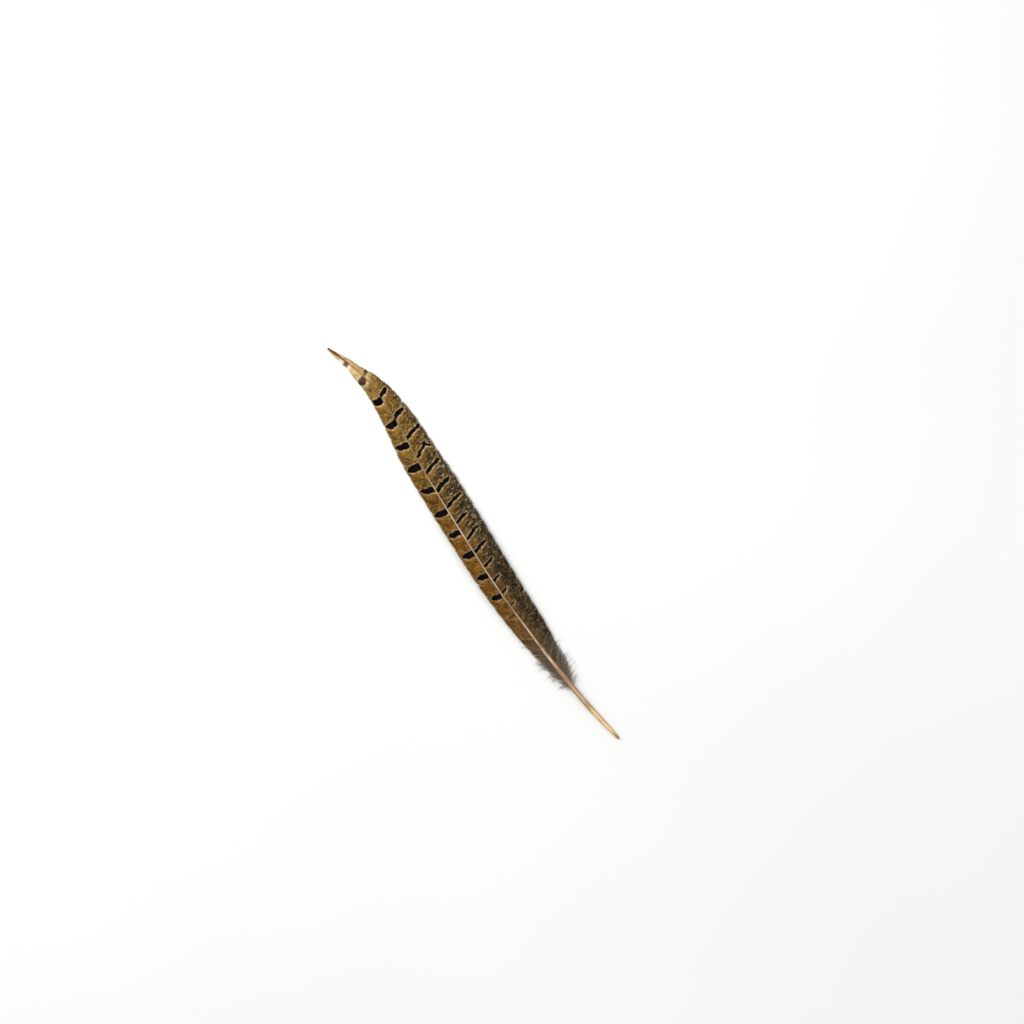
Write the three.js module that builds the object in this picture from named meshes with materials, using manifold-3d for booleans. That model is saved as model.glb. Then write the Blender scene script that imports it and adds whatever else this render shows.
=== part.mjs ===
// A barred tail feather lying on its margins: a tapering quill with a vane of barb locks along each side.
// Millimetres. +X runs from the quill's cut end to the tip, +Z is up, and the feather rests on z = 0.
import * as THREE from "three";
import { ParametricGeometry } from "three/addons/geometries/ParametricGeometry.js";
import { mergeVertices } from "three/addons/utils/BufferGeometryUtils.js";
import Module from "manifold-3d";

// ---------------------------------------------------------------- driving dimensions

const LENGTH = 280; // straight from the cut end to the tip
const CENTRE_Y = -2.15; // middle of the feather's width, measured from the line through both ends

// The shaft's line, one value each 28 mm from the cut end to the tip.
const SHAFT_BOW = [0, 3.0, 4.2, 4.4, 4.1, 2.3, 0, -2.9, -6.8, -7.2, 0]; // sideways
const SHAFT_RISE = [0.9, 1.6, 3.3, 4.9, 5.7, 5.5, 4.5, 3.3, 2.2, 1.2, 0.3]; // height of its axis

// The shaft's radius: [distance from the cut end, radius].
const SHAFT_RADIUS = [
  [0, 0.55],
  [1.5, 0.8],
  [7, 1.12],
  [16, 1.45],
  [24, 1.5],
  [40, 1.5],
  [58, 1.26],
  [74, 0.94],
  [95, 0.68],
  [120, 0.55],
  [166, 0.43],
  [204, 0.36],
  [245, 0.3],
  [270, 0.26],
  [279.2, 0.26],
];
const SHAFT_SIDES = 12;
const SHAFT_STEP = 7; // between the rings of the shaft
const GROOVE_FROM = 66; // the groove under the rachis starts here
const GROOVE_DEPTH = 0.4; // as a share of the radius

// How far each vane reaches from the shaft: [distance from the cut end, reach].
const LEFT_REACH = [
  [40, 0],
  [45, 4.4],
  [54, 6.2],
  [64, 6.9],
  [74, 7.4],
  [90, 8.4],
  [120, 9.0],
  [165, 9.2],
  [203, 9.6],
  [218, 8.6],
  [234, 6.9],
  [247, 5.6],
  [256, 4.95],
  [260, 4.35],
  [265, 3.1],
  [270, 2.2],
  [276, 1.5],
  [279.2, 0.8],
  [279.9, 0],
];
const RIGHT_REACH = [
  [38, 0],
  [43, 5.2],
  [52, 7.6],
  [62, 9.2],
  [72, 10.3],
  [88, 11.8],
  [115, 13.8],
  [150, 14.9],
  [180, 14.7],
  [205, 12.6],
  [223, 10.6],
  [240, 8.2],
  [250, 5.9],
  [258, 3.6],
  [261, 3.0],
  [266, 3.0],
  [270, 2.4],
  [273, 1.9],
  [276, 1.2],
  [279.2, 0.7],
  [279.9, 0],
];

const LOCKS = 30; // on each side
// How far a barb leans to the tip for each millimetre that it reaches out: [distance from the cut end, lean].
const SLANT = [
  [0, 0.8],
  [225, 0.8],
  [255, 1.5],
  [279.2, 2.2],
];
const BEND = 1.3; // a barb leans more towards its end
const TOOTH = 0.04; // how far the margin dips between two locks, as a share of the reach
const DOWN_END = 71; // below this the barbs are loose down, with deep gaps between the tufts
const DOWN_GAP = 0.42;
// Gaps that wear has opened in the margin: [lock, share of the reach].
const LEFT_SPLITS = new Map([
  [10, 0.16],
  [20, 0.22],
  [28, 0.16],
  [29, 0.5],
]);
const RIGHT_SPLITS = new Map([
  [8, 0.14],
  [15, 0.2],
  [24, 0.24],
]);

const ROOT_THICK = 0.62; // of a vane at the shaft
const EDGE_THICK = 0.36; // of a vane at its margin
const RIDGE = 0.45; // share of the thickness that the furrow between two locks takes
const SAG = 3.4; // how far a margin hangs below the shaft, until it meets the ground
const SAG_SHARE = 0.45; // and its most, as a share of the reach
const FLAT_FROM = 0.8; // share of the reach beyond which the vane is level
const DROOP = 1.5; // how the vane falls away from the shaft before that
const ROWS = [0, 0.2, 0.5, 0.8, 1]; // across a vane, as shares of the reach
const CUTS = 4; // facets along the margin of one lock

// ---------------------------------------------------------------- the lines that the feather grows along

const shaftLine = new THREE.CatmullRomCurve3(
  SHAFT_BOW.map((bow, i) => {
    const x = (LENGTH * i) / (SHAFT_BOW.length - 1);
    return new THREE.Vector3(x, bow, SHAFT_RISE[i]);
  }),
  false,
  "catmullrom",
  0.5,
);

function lookUp(table, x) {
  const next = table.findIndex(([at]) => at >= x);
  if (next < 0) return table[table.length - 1][1];
  if (next === 0) return table[0][1];
  const [x0, y0] = table[next - 1];
  const [x1, y1] = table[next];
  return THREE.MathUtils.mapLinear(x, x0, x1, y0, y1);
}

const onShaft = (x) => shaftLine.getPoint(THREE.MathUtils.clamp(x / LENGTH, 0, 1));

// The level direction that points off the shaft to its left.
function leftOf(x) {
  const along = shaftLine.getTangent(THREE.MathUtils.clamp(x / LENGTH, 0, 1));
  return new THREE.Vector3(-along.y, along.x, 0).normalize();
}

// ---------------------------------------------------------------- solids

const wasm = await Module();
wasm.setup();

function solid(geometry) {
  geometry.deleteAttribute("normal");
  geometry.deleteAttribute("uv");
  const merged = mergeVertices(geometry, 1e-4);
  const corners = merged.index.array;
  const triVerts = [];
  for (let i = 0; i < corners.length; i += 3) {
    const [a, b, c] = corners.slice(i, i + 3);
    if (a !== b && b !== c && c !== a) triVerts.push(a, b, c);
  }
  return new wasm.Manifold(
    new wasm.Mesh({
      numProp: 3,
      vertProperties: merged.attributes.position.array,
      triVerts: new Uint32Array(triVerts),
    }),
  );
}

// The quill: the bare calamus and the tapering rachis are one turned shape, bent along the shaft's line.
// It is turned with a flat facet underneath, and flattened where it lies on the ground.
function quill() {
  const profile = [new THREE.Vector2(0, 0)];
  for (const [x, r] of SHAFT_RADIUS) profile.push(new THREE.Vector2(r, x));
  const rings = SHAFT_RADIUS.map(([x]) => x);
  for (let x = SHAFT_STEP; x < LENGTH - SHAFT_STEP; x += SHAFT_STEP) {
    if (rings.every((ring) => Math.abs(ring - x) > 0.45 * SHAFT_STEP)) {
      profile.push(new THREE.Vector2(lookUp(SHAFT_RADIUS, x), x));
    }
  }
  profile.push(new THREE.Vector2(0, LENGTH));
  profile.sort((a, b) => a.y - b.y || a.x - b.x);

  const turned = new THREE.LatheGeometry(profile, SHAFT_SIDES, Math.PI / SHAFT_SIDES);
  const place = turned.attributes.position;
  for (let i = 0; i < place.count; i++) {
    const x = place.getY(i);
    const out = -place.getX(i);
    let up = place.getZ(i);
    const r = Math.hypot(out, up);
    const beneath = up < -0.9 * r;
    if (beneath && x > GROOVE_FROM && x < LENGTH - 30) up += GROOVE_DEPTH * r;
    const axis = onShaft(x);
    const side = leftOf(x).multiplyScalar(out);
    place.setXYZ(i, axis.x + side.x, axis.y + side.y, Math.max(0, axis.z + up));
  }
  return solid(turned);
}

// One vane. u runs along the margin from the down to the tip, and v runs round the vane's section: out
// along the top, down the margin and back underneath. Each lock is a low ridge with a rounded end.
function vane(reach, splits, side) {
  const start = reach[0][0];
  const end = reach[reach.length - 1][0];
  const turns = 2 * ROWS.length;

  const place = (u, v, target) => {
    const along = u * LOCKS;
    const nearest = Math.round(along);
    const fromGap = Math.abs(along - nearest);
    const swell = Math.sin(Math.PI * Math.min(fromGap, 0.5));
    const margin = THREE.MathUtils.lerp(start, end, u);
    const full = lookUp(reach, margin);
    const gap = splits.get(nearest) ?? (margin < DOWN_END ? DOWN_GAP : TOOTH);
    const share = 1 - gap * (1 - swell) ** 1.5;
    const width = full * share;

    const step = Math.round(v * turns) % turns;
    const top = step < ROWS.length;
    const q = full > 0 ? ROWS[top ? step : turns - 1 - step] : 0;
    const station = margin - lookUp(SLANT, margin) * full * (1 - share * q ** BEND);
    const axis = onShaft(station);
    const out = leftOf(station).multiplyScalar(side * width * q);
    const falls = Math.min(1, q / FLAT_FROM) ** DROOP;
    const slim = Math.min(1, lookUp(SHAFT_RADIUS, station) / 0.42);
    const thick = THREE.MathUtils.lerp(ROOT_THICK, EDGE_THICK, q) * slim;
    const furrow = q === 0 ? 0 : RIDGE * (1 - swell);
    const lift = Math.max(0, axis.z - Math.min(SAG, SAG_SHARE * full));
    const under = THREE.MathUtils.lerp(axis.z - thick / 2, lift, falls);
    target.set(axis.x + out.x, axis.y + out.y, under + (top ? thick * (1 - furrow) : 0));
  };

  const turned = side > 0 ? place : (u, v, target) => place(u, 1 - v, target);
  return solid(new ParametricGeometry(turned, LOCKS * CUTS, turns));
}

const body = quill().add(vane(LEFT_REACH, LEFT_SPLITS, 1)).add(vane(RIGHT_REACH, RIGHT_SPLITS, -1));

// ---------------------------------------------------------------- the feather

const made = body.getMesh();
const shape = new THREE.BufferGeometry();
shape.setAttribute("position", new THREE.BufferAttribute(made.vertProperties, 3));
shape.setIndex(new THREE.BufferAttribute(made.triVerts, 1));
shape.translate(-LENGTH / 2, -CENTRE_Y, 0);
shape.computeVertexNormals();

const feather = new THREE.Mesh(
  shape,
  new THREE.MeshStandardMaterial({ color: 0xa8843f, roughness: 0.7, metalness: 0 }),
);
feather.name = "feather";

const group = new THREE.Group();
group.add(feather);

export default group;
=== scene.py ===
# %% [markdown]
# # A barred pheasant tail feather
#
# One loose tail feather lies on a pale surface with its upper side up. The solid model gives its line,
# its outline and how it rests. This lesson grows the fine structure on the same line: a horn quill,
# some eleven hundred barbs in two vanes, and soft down at the foot. All the lengths below are in
# millimetres until a mesh is written.

import bpy
import numpy as np
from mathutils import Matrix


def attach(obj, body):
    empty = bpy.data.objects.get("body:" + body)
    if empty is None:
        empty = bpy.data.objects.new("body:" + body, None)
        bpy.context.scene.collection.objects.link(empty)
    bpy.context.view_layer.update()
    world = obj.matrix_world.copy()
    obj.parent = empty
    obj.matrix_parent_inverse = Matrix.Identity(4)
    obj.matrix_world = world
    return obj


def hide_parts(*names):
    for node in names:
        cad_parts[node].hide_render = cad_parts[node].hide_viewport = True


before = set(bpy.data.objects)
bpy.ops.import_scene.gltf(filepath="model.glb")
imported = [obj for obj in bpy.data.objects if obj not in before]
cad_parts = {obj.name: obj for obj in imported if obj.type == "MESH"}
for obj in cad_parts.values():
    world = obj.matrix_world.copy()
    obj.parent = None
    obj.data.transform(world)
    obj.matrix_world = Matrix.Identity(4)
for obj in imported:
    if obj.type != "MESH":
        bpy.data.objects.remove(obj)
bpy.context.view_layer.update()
luck = np.random.default_rng(20)

# %% [markdown]
# ## The shaft's line
#
# A tail feather is never straight. This one sweeps one way near the tip and the other way nearer the
# quill, and it arches a little off the ground. Both are given by one value each 28 mm. A Catmull-Rom
# spline joins them, the same curve that the solid model is bent along, so that the barbs and the solid
# share one line.

# %% The shaft's line
MM = 0.001  # meshes are written in metres
LENGTH = 280.0  # straight from the cut end to the tip
CENTRE_Y = -2.15  # middle of the feather's width, measured from the line through both ends
# The shaft's line, one value each 28 mm: how far it is to the left, and how high its axis is.
SHAFT_BOW = [0, 3.0, 4.2, 4.4, 4.1, 2.3, 0, -2.9, -6.8, -7.2, 0]
SHAFT_RISE = [0.9, 1.6, 3.3, 4.9, 5.7, 5.5, 4.5, 3.3, 2.2, 1.2, 0.3]
# The shaft's radius: (station, radius).
SHAFT_RADIUS = [
    (0, 0.55),
    (1.5, 0.8),
    (7, 1.12),
    (16, 1.45),
    (24, 1.5),
    (40, 1.5),
    (58, 1.26),
    (74, 0.94),
    (95, 0.68),
    (120, 0.55),
    (166, 0.43),
    (204, 0.36),
    (245, 0.3),
    (270, 0.26),
    (279.2, 0.26),
]


def spline(knots, x):
    """A uniform Catmull-Rom curve through knots that are evenly spaced from 0 to LENGTH."""
    knots = np.asarray(knots, float)
    before, after = 2 * knots[0] - knots[1], 2 * knots[-1] - knots[-2]
    k = np.concatenate([[before], knots, [after]])
    place = np.clip(np.asarray(x, float) / LENGTH, 0, 1) * (len(knots) - 1)
    i = np.minimum(place.astype(int), len(knots) - 2)
    t = place - i
    a, b, c, d = k[i], k[i + 1], k[i + 2], k[i + 3]
    return 0.5 * (2 * b + (c - a) * t + (2 * a - 5 * b + 4 * c - d) * t**2 + (3 * b - 3 * c + d - a) * t**3)


def table(pairs, x):
    """A value looked up between the points of a table."""
    at, value = np.array(pairs, float).T
    return np.interp(x, at, value)


def bend(station, across, height):
    """Takes a point of the straightened feather to its place on the bent one, in metres."""
    slope = spline(SHAFT_BOW, station + 0.5) - spline(SHAFT_BOW, station - 0.5)  # over one millimetre
    size = np.hypot(1, slope)
    x = station - slope / size * across - LENGTH / 2
    y = spline(SHAFT_BOW, station) + across / size - CENTRE_Y
    return np.stack([x, y, height], -1) * MM


stretch = np.linspace(0, LENGTH, 200)
print("shaft rises to", round(float(spline(SHAFT_RISE, stretch).max()), 2), "mm")

# %% [markdown]
# ## The outline of the two vanes
#
# The vane to the left of the shaft is the narrow one. Each barb leans towards the tip, and leans more
# near the tip, so a barb is named here by the station where it meets the margin. The table gives how
# far the margin is from the shaft there. Between the shaft and the margin the vane falls away like a
# low roof and then lies flat.

# %% The outline of the two vanes
# How far each vane's margin is from the shaft: (station, reach).
LEFT_REACH = [
    (40, 0),
    (45, 4.4),
    (54, 6.2),
    (64, 6.9),
    (74, 7.4),
    (90, 8.4),
    (120, 9.0),
    (165, 9.2),
    (203, 9.6),
    (218, 8.6),
    (234, 6.9),
    (247, 5.6),
    (256, 4.95),
    (260, 4.35),
    (265, 3.1),
    (270, 2.2),
    (276, 1.5),
    (279.2, 0.8),
    (279.9, 0),
]
RIGHT_REACH = [
    (38, 0),
    (43, 5.2),
    (52, 7.6),
    (62, 9.2),
    (72, 10.3),
    (88, 11.8),
    (115, 13.8),
    (150, 14.9),
    (180, 14.7),
    (205, 12.6),
    (223, 10.6),
    (240, 8.2),
    (250, 5.9),
    (258, 3.6),
    (261, 3.0),
    (266, 3.0),
    (270, 2.4),
    (273, 1.9),
    (276, 1.2),
    (279.2, 0.7),
    (279.9, 0),
]
# How far a barb leans to the tip for each millimetre that it reaches out: (station, lean).
SLANT = [(0, 0.8), (225, 0.8), (255, 1.5), (279.2, 2.2)]
BEND = 1.3  # a barb leans more towards its end
ROOT_THICK, EDGE_THICK = 0.62, 0.36  # of a vane at the shaft and at its margin
SLIM_BELOW = 0.42  # a vane is thinner where the shaft's radius is less than this
SAG = 3.4  # how far a margin hangs below the shaft, until it meets the ground
SAG_SHARE = 0.45  # and its most, as a share of the reach
FLAT_FROM = 0.8  # share of the reach beyond which the vane is level
DROOP = 1.5  # how the vane falls away from the shaft before that
# The outline's corners are rounded off over these steps, but not on the last few millimetres.
CORNER_STEPS = (-3, -1.5, 0, 1.5, 3)
CORNER_WEIGHTS = (1, 2, 3, 2, 1)
SHARP_END = 4
GUESSES = 8  # each one comes closer to the margin that a point's barb ends at
NARROWEST = 0.05


def reach_at(reach, margin):
    """The vane's reach, with the corners of its table rounded off."""
    near = [table(reach, margin + step) for step in CORNER_STEPS]
    soft = np.average(near, axis=0, weights=CORNER_WEIGHTS)
    return np.where(margin > LENGTH - SHARP_END, table(reach, margin), soft)


def ground_of(reach, station, across):
    """The height of the vane's underside over the ground."""
    margin = np.array(station, float)
    for _ in range(GUESSES):
        full = np.maximum(reach_at(reach, margin), NARROWEST)
        share = np.clip(across / full, 0, 1)
        margin = station + table(SLANT, margin) * full * (1 - share**BEND)
    axis = spline(SHAFT_RISE, station)
    falls = np.minimum(1, share / FLAT_FROM) ** DROOP
    thick = ROOT_THICK + (EDGE_THICK - ROOT_THICK) * share
    thick = thick * np.minimum(1, table(SHAFT_RADIUS, station) / SLIM_BELOW)
    lift = np.maximum(0, axis - np.minimum(SAG, SAG_SHARE * full))
    return (axis - thick / 2) * (1 - falls) + lift * falls


print("widest:", [round(float(reach_at(r, stretch).max()), 1) for r in (LEFT_REACH, RIGHT_REACH)], "mm")

# %% [markdown]
# ## A way to make many strands at once
#
# Barbs, down and their side hairs are all the same kind of form: a thin closed strand with a small
# section that changes along its length. One function makes any number of them as one mesh. It works on
# the straightened feather and bends the result, and it stores where each point grew: its station along
# the shaft, its distance across (positive to the left) and the barb's own random number. The materials
# paint from these, so a bar runs on from barb to barb although each barb is a separate strand.

# %% A flat place for each strand's paint
STRIP_ASPECT = 14  # a strip's cell is this many times as wide as it is high
STRIP_END = 0.06  # share of the cell's width that is kept for the cap at each end
STRIP_GAP = 0.05  # share of its height that is left empty above and below
CAP_SIZE = (0.02, 0.4)  # half a cap's width and height, as shares of the cell
CAP_PLACES = ((0.03, 0.5), (0.97, 0.5))


def strip_map(mesh, n, r, k, room):
    """Lays every strand out flat as a strip of its own, in rows and columns, so that paint can be baked.

    There are n strands of r rings with k points each. room is the part of the map's height for them."""
    columns = max(1, round((n / STRIP_ASPECT) ** 0.5))
    rows = -(-n // columns)
    i, j = np.arange(r - 1)[:, None, None], np.arange(k)[None, :, None]
    u = (i + np.array([0, 0, 1, 1])) / (r - 1) * (1 - 2 * STRIP_END) + STRIP_END
    v = (j + np.array([0, 1, 1, 0])) / k * (1 - 2 * STRIP_GAP) + STRIP_GAP
    around = 2 * np.pi * np.arange(k) / k
    cap = np.stack([np.cos(around), np.sin(around)], -1) * CAP_SIZE
    which = np.stack([np.arange(n) % columns, np.arange(n) // columns], -1)[:, None]
    parts = [np.stack(np.broadcast_arrays(u, v), -1).reshape(-1, 2)]
    parts += [cap + place for place in CAP_PLACES]
    placed = np.concatenate([(which + part).reshape(-1, 2) for part in parts]) / (columns, rows)
    placed[:, 1] = room[0] + (room[1] - room[0]) * placed[:, 1]
    mesh.uv_layers.new(name="OFBake").data.foreach_set("uv", placed.ravel())


print("flat strips are", STRIP_ASPECT, "times as wide as they are high")

# %% Strands
LOWEST = 0.004  # nothing comes nearer to the ground
SHORTEST_STEP, NEARLY_0 = 1e-6, 1e-9  # these keep a strand with no length from dividing by nothing


def store(mesh, name, values):
    """Keeps a vector at each point of a mesh, for its material to read."""
    made = mesh.attributes.new(name, "FLOAT_VECTOR", "POINT")
    made.data.foreach_set("vector", np.ascontiguousarray(values, np.float32).ravel())


def strands(name, spine, side, section, marks, room=(0.0, 1.0)):
    """Makes n strands of r rings with k points each, as one mesh.

    spine (n, r, 3) is station, across and height. side (n, r, 2) is level and square to it.
    section (n, r, k, 2) is out along side, and up. marks (n, r, k, 3) is kept as "barb": the share of the
    length, the place across the barb, and chance."""
    n, r, k = section.shape[:3]
    flat = spine[:, :, None, :2] + section[..., :1] * side[:, :, None, :]
    height = np.maximum(spine[:, :, None, 2] + section[..., 1], LOWEST)
    points = bend(flat[..., 0], flat[..., 1], height).reshape(-1, 3)
    corner = np.arange(n * r * k).reshape(n, r, k)
    ahead = np.roll(corner, -1, axis=2)
    quads = np.stack([corner[:, :-1], ahead[:, :-1], ahead[:, 1:], corner[:, 1:]], -1).reshape(-1, 4)
    faces = quads.tolist() + corner[:, 0, ::-1].tolist() + corner[:, -1].tolist()

    mesh = bpy.data.meshes.new(name)
    mesh.from_pydata(points.tolist(), [], faces)
    mesh.shade_smooth()
    strip_map(mesh, n, r, k, room)
    marks = np.broadcast_to(marks, (n, r, k, 3))
    store(mesh, "grow", np.concatenate([flat, marks[..., 2:]], -1))
    store(mesh, "barb", marks)
    piece = bpy.data.objects.new(name, mesh)
    bpy.context.scene.collection.objects.link(piece)
    print(name, "has", n, "strands and", sum(len(f) - 2 for f in faces), "triangles")
    return piece


def across_of(path):
    """The level direction square to each point of a path, towards the feather's tip."""
    along = np.gradient(path[..., :2], axis=1)
    along /= np.maximum(np.linalg.norm(along, axis=-1, keepdims=True), SHORTEST_STEP)
    return np.stack([np.abs(along[..., 1]), -along[..., 0] * np.sign(along[..., 1] + NEARLY_0)], -1)


print("strands ready")

# %% [markdown]
# ## Small tools for node materials
#
# The materials are written as short sums. These helpers add one node each and join it to what it is
# given, so that a line below reads like the sum it stands for.

# %% Node helpers


def rgb(code):
    """Turns a colour code, such as #A8843F, into the linear values that nodes take (the sRGB curve)."""
    parts = [int(code[i : i + 2], 16) / 255 for i in (1, 3, 5)]
    return tuple(p / 12.92 if p < 0.04045 else ((p + 0.055) / 1.055) ** 2.4 for p in parts) + (1.0,)


def fill(tree, made, given):
    """Fills a node's inputs with values, or joins them to sockets."""
    for key, value in given.items():
        if isinstance(value, bpy.types.NodeSocket):
            tree.links.new(value, made.inputs[key])
        else:
            made.inputs[key].default_value = value
    return made


def node(tree, kind, given=None, **settings):
    """Adds a node, sets it up and fills its inputs."""
    made = tree.nodes.new("ShaderNode" + kind)
    for key, value in settings.items():
        setattr(made, key, value)
    return fill(tree, made, given or {})


def calc(tree, operation, *values):
    """A sum of one to three numbers."""
    return node(tree, "Math", dict(enumerate(values)), operation=operation).outputs[0]


def ease(tree, value, low, high, start=0.0, end=1.0):
    """Goes smoothly from start to end while value goes from low to high.

    The smooth step keeps between start and end by itself. A clamp on each would only make the compiled
    shader longer, and the vanes' material is a long one already."""
    given = {"Value": value, "From Min": low, "From Max": high, "To Min": start, "To Max": end}
    return node(tree, "MapRange", given, interpolation_type="SMOOTHSTEP", clamp=False).outputs["Result"]


def mix(tree, factor, first, second, way="MIX"):
    """Lays the second colour over the first."""
    return node(tree, "Mix", {0: factor, 6: first, 7: second}, data_type="RGBA", blend_type=way).outputs[2]


def noise(tree, place, scale, detail=2.0, rough=0.5):
    """Cloudy noise, from 0 to 1."""
    given = {"Vector": place, "Scale": scale, "Detail": detail, "Roughness": rough}
    return node(tree, "TexNoise", given).outputs["Fac"]


def ramp(tree, station, colours):
    """A colour that changes along the feather: (station, colour)."""
    made = node(tree, "ValToRGB", {0: calc(tree, "DIVIDE", station, LENGTH)})
    stops = made.color_ramp.elements
    for number, (at, code) in enumerate(colours):
        stop = stops[number] if number < 2 else stops.new(at / LENGTH)
        stop.position = at / LENGTH
        stop.color = rgb(code)
    return made.outputs[0]


def squeeze(tree, place, x, y, z):
    """Scales a place, so that noise there is drawn out."""
    given = {0: place, 1: (x, y, z)}
    return node(tree, "VectorMath", given, operation="MULTIPLY").outputs[0]


def group(name, inputs, outputs):
    """An empty node group with named sockets: (name, kind, default)."""
    tree = bpy.data.node_groups.new(name, "ShaderNodeTree")
    for label, kind, value in inputs:
        socket = tree.interface.new_socket(label, in_out="INPUT", socket_type="NodeSocket" + kind)
        if value is not None:
            socket.default_value = value
    for label, kind in outputs:
        tree.interface.new_socket(label, in_out="OUTPUT", socket_type="NodeSocket" + kind)
    return tree, tree.nodes.new("NodeGroupInput").outputs, tree.nodes.new("NodeGroupOutput").inputs


def use(tree, built, given):
    """Places a node group, fills its inputs and returns its outputs."""
    made = tree.nodes.new("ShaderNodeGroup")
    made.node_tree = built
    return fill(tree, made, given).outputs


def material(name):
    """A new node material, with its tree and its shader."""
    made = bpy.data.materials.new(name)
    made.use_nodes = True
    return made, made.node_tree, made.node_tree.nodes["Principled BSDF"]


def attribute(tree, name):
    """A stored vector, and its three numbers."""
    vector = node(tree, "Attribute", attribute_name=name).outputs["Vector"]
    parts = node(tree, "SeparateXYZ", {0: vector}).outputs
    return vector, parts["X"], parts["Y"], parts["Z"]


print("helpers ready")

# %% [markdown]
# ## One cross bar
#
# Black bars cross both vanes. Real ones could be painted by hand or with an image, but a bar is simple
# enough to be a sum: the distance from a leaning line, less than half the bar's length, as far as the
# bar reaches. Where it ends, its edge towards the quill curves over to meet the other one, and at the
# shaft it can be pinched. The group is built once and placed for every bar. It gives three masks: the
# bar, the pale border that runs along both of its sides, and the warmer ground behind it, on the side
# of the quill.

# %% The cross bar's shape
EDGE_SOFT = 0.2  # a bar's edge fades over twice this many millimetres
PINCH_TO = 1.8  # a pinched bar has its whole length from here outwards
TAPER_POWER = 6.0  # the edge towards the quill curves over late
ROUND_POWER, ROUND_DEPTH = 14.0, 0.7  # and the other edge later still

bar_group, into, out = group(
    "Cross bar",
    [
        ("Along", "Float", 0.0),
        ("Across", "Float", 0.0),
        ("Centre", "Float", 0.0),
        ("Lean", "Float", 0.0),
        ("Curve", "Float", 0.0),
        ("Half length", "Float", 2.0),
        ("Start", "Float", -1.0),
        ("Reach", "Float", 8.0),
        ("Taper", "Float", 0.3),
        ("Pinch", "Float", 0.0),
    ],
    [("Bar", "Float"), ("Halo", "Float"), ("Warmth", "Float")],
)
slope = calc(bar_group, "MULTIPLY_ADD", into["Curve"], into["Across"], into["Lean"])
line = calc(bar_group, "MULTIPLY_ADD", slope, into["Across"], into["Centre"])
signed = calc(bar_group, "SUBTRACT", into["Along"], line)
far = calc(bar_group, "MAXIMUM", calc(bar_group, "DIVIDE", into["Across"], into["Reach"]), 0.0)
far = calc(bar_group, "MINIMUM", far, 1.0)
cut = calc(bar_group, "MULTIPLY", calc(bar_group, "POWER", far, TAPER_POWER), into["Taper"])
close_by = ease(bar_group, into["Across"], 0.0, PINCH_TO, 1.0, 0.0)
pinched = calc(bar_group, "MULTIPLY", close_by, into["Pinch"])
whole = calc(bar_group, "MULTIPLY_ADD", pinched, -1.0, 1.0)
rounded = calc(bar_group, "MULTIPLY_ADD", calc(bar_group, "POWER", far, ROUND_POWER), -ROUND_DEPTH, whole)
ahead_of = calc(bar_group, "MULTIPLY", into["Half length"], rounded)
cut_off = calc(bar_group, "MULTIPLY_ADD", cut, -2.0, whole)
behind = calc(bar_group, "MULTIPLY", into["Half length"], cut_off)
over_ahead = calc(bar_group, "SUBTRACT", signed, ahead_of)
over_behind = calc(bar_group, "SUBTRACT", calc(bar_group, "MULTIPLY", signed, -1.0), behind)
over = calc(bar_group, "MAXIMUM", over_ahead, over_behind)
beyond = calc(bar_group, "SUBTRACT", into["Across"], into["Reach"])
before = calc(bar_group, "SUBTRACT", into["Start"], into["Across"])
outside = calc(bar_group, "MAXIMUM", calc(bar_group, "MAXIMUM", over, beyond), before)
bar_group.links.new(ease(bar_group, outside, -EDGE_SOFT, EDGE_SOFT, 1.0, 0.0), out["Bar"])
print("a bar's shape takes", len(bar_group.nodes), "nodes")

# %% The cross bar's border and warm ground
SIDES = (-0.4, 0.4)  # over which one side of a bar turns into the other
WIDE_BEHIND, WIDE_AHEAD = 1.3, 1.0  # the border is wider and clearer on the side of the quill
AHEAD_CLEAR = 0.62
CLEAR_SHARE = 0.35  # of the border's width
GLOW, GLOW_FROM, GLOW_TO = 0.1, 0.4, 3.2  # a faint light beyond it
FADE_OUT = (-0.5, 1.0)  # the border fades where the bar ends
WARM_IN, WARM_OUT, WARM_END = (0.5, 1.5), (4.5, 2.0), (-3.0, 0.0)  # where the warm ground comes and goes

width = ease(bar_group, signed, *SIDES, WIDE_BEHIND, WIDE_AHEAD)
border = ease(bar_group, over, calc(bar_group, "MULTIPLY", width, CLEAR_SHARE), width, 1.0, 0.0)
border = calc(bar_group, "MAXIMUM", border, ease(bar_group, over, GLOW_FROM, GLOW_TO, GLOW, 0.0))
border = calc(bar_group, "MULTIPLY", border, ease(bar_group, signed, *SIDES, 1.0, AHEAD_CLEAR))
ended = calc(bar_group, "MAXIMUM", beyond, before)
halo = calc(bar_group, "MULTIPLY", border, ease(bar_group, ended, *FADE_OUT, 1.0, 0.0))
bar_group.links.new(halo, out["Halo"])
warm_in = ease(bar_group, over_behind, *WARM_IN)
warmth = calc(bar_group, "MULTIPLY", warm_in, ease(bar_group, over_behind, *WARM_OUT))
warmth = calc(bar_group, "MULTIPLY", warmth, ease(bar_group, ended, *WARM_END, 1.0, 0.0))
bar_group.links.new(warmth, out["Warmth"])
print("cross bar group has", len(bar_group.nodes), "nodes")

# %% [markdown]
# ## Effects that more than one material uses
#
# Keratin fibres run along every part of a feather, and old feathers gather a brownish stain. Both are
# groups: the fibre group draws out noise along one direction and gives a value for colour and a height
# for bump, and the stain group darkens and warms a colour in soft patches.

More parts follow.
